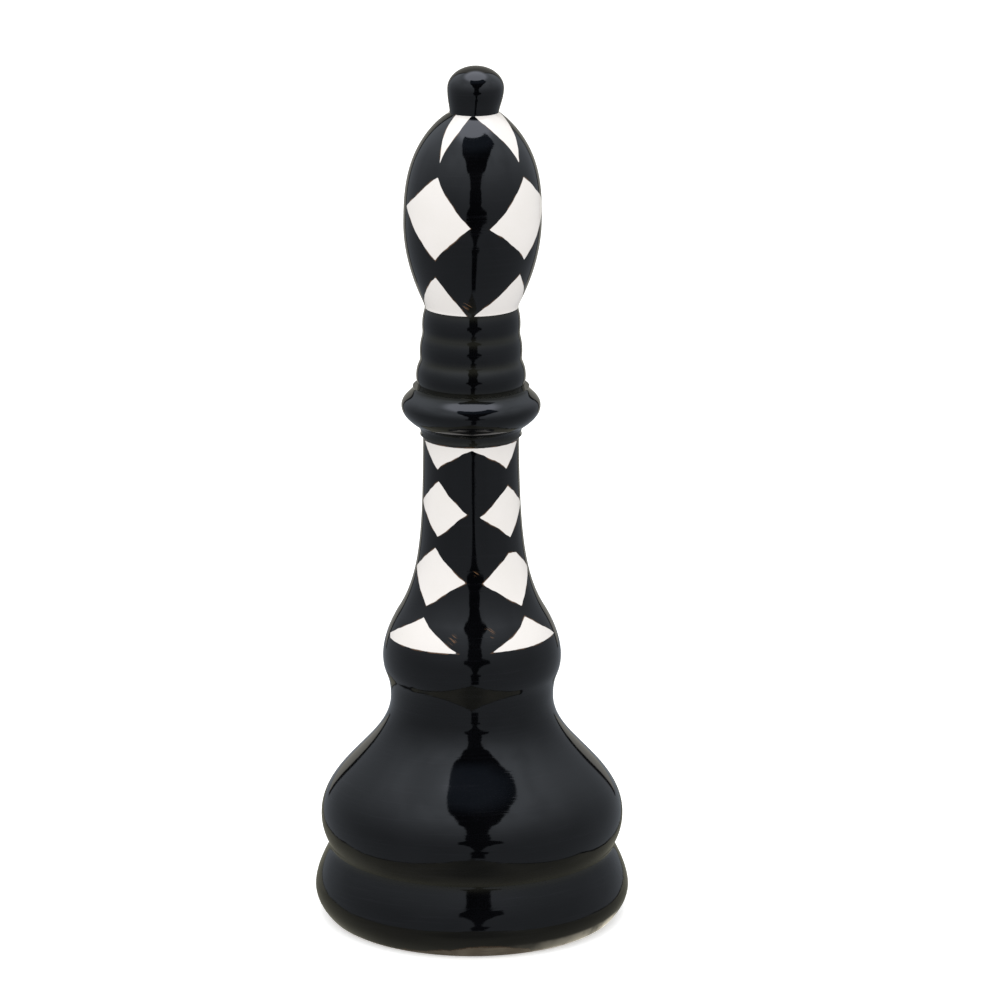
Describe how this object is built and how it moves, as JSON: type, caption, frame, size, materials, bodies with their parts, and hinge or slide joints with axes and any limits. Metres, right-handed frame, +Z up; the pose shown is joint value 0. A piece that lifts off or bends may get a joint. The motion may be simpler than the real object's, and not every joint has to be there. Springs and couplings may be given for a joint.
{
  "type": "giant chess piece",
  "caption": "Tall glazed ceramic bishop with a mitre head, ribbed neck, collar, bell base and a stoppered foot, painted with diamonds.",
  "frame": {"origin": "centre of the ring that the piece stands on, on the ground", "axes": "+Z up along the axis of the turned shape, towards the finial; +X and +Y are level"},
  "size_m": [0.169, 0.169, 0.46],
  "materials": {
    "black_glaze": "glossy black glaze",
    "painted_glaze": "glossy black glaze with hand-painted off-white diamonds",
    "joint_cement": "dull, slightly grainy",
    "plaster": "matte cast plaster",
    "stopper_rubber": "matte moulded rubber"
  },
  "bodies": {
    "piece": {"foot_casting": "black_glaze", "bell_casting": "black_glaze", "stem_casting": "painted_glaze", "collar_casting": "black_glaze", "neck_casting": "black_glaze", "head_casting": "painted_glaze", "finial_casting": "black_glaze", "foot_cement": "joint_cement", "waist_cement": "joint_cement", "collar_cement": "joint_cement", "neck_cement": "joint_cement", "head_cement": "joint_cement", "finial_cement": "joint_cement", "ballast": "plaster"},
    "stopper": {"fill_stopper": "stopper_rubber"}
  },
  "joints": [
    {"name": "stopper_pull", "type": "slide", "parent": "piece", "child": "stopper", "axis": [0, 0, -1], "range_m": [0, 0.035]}
  ]
}
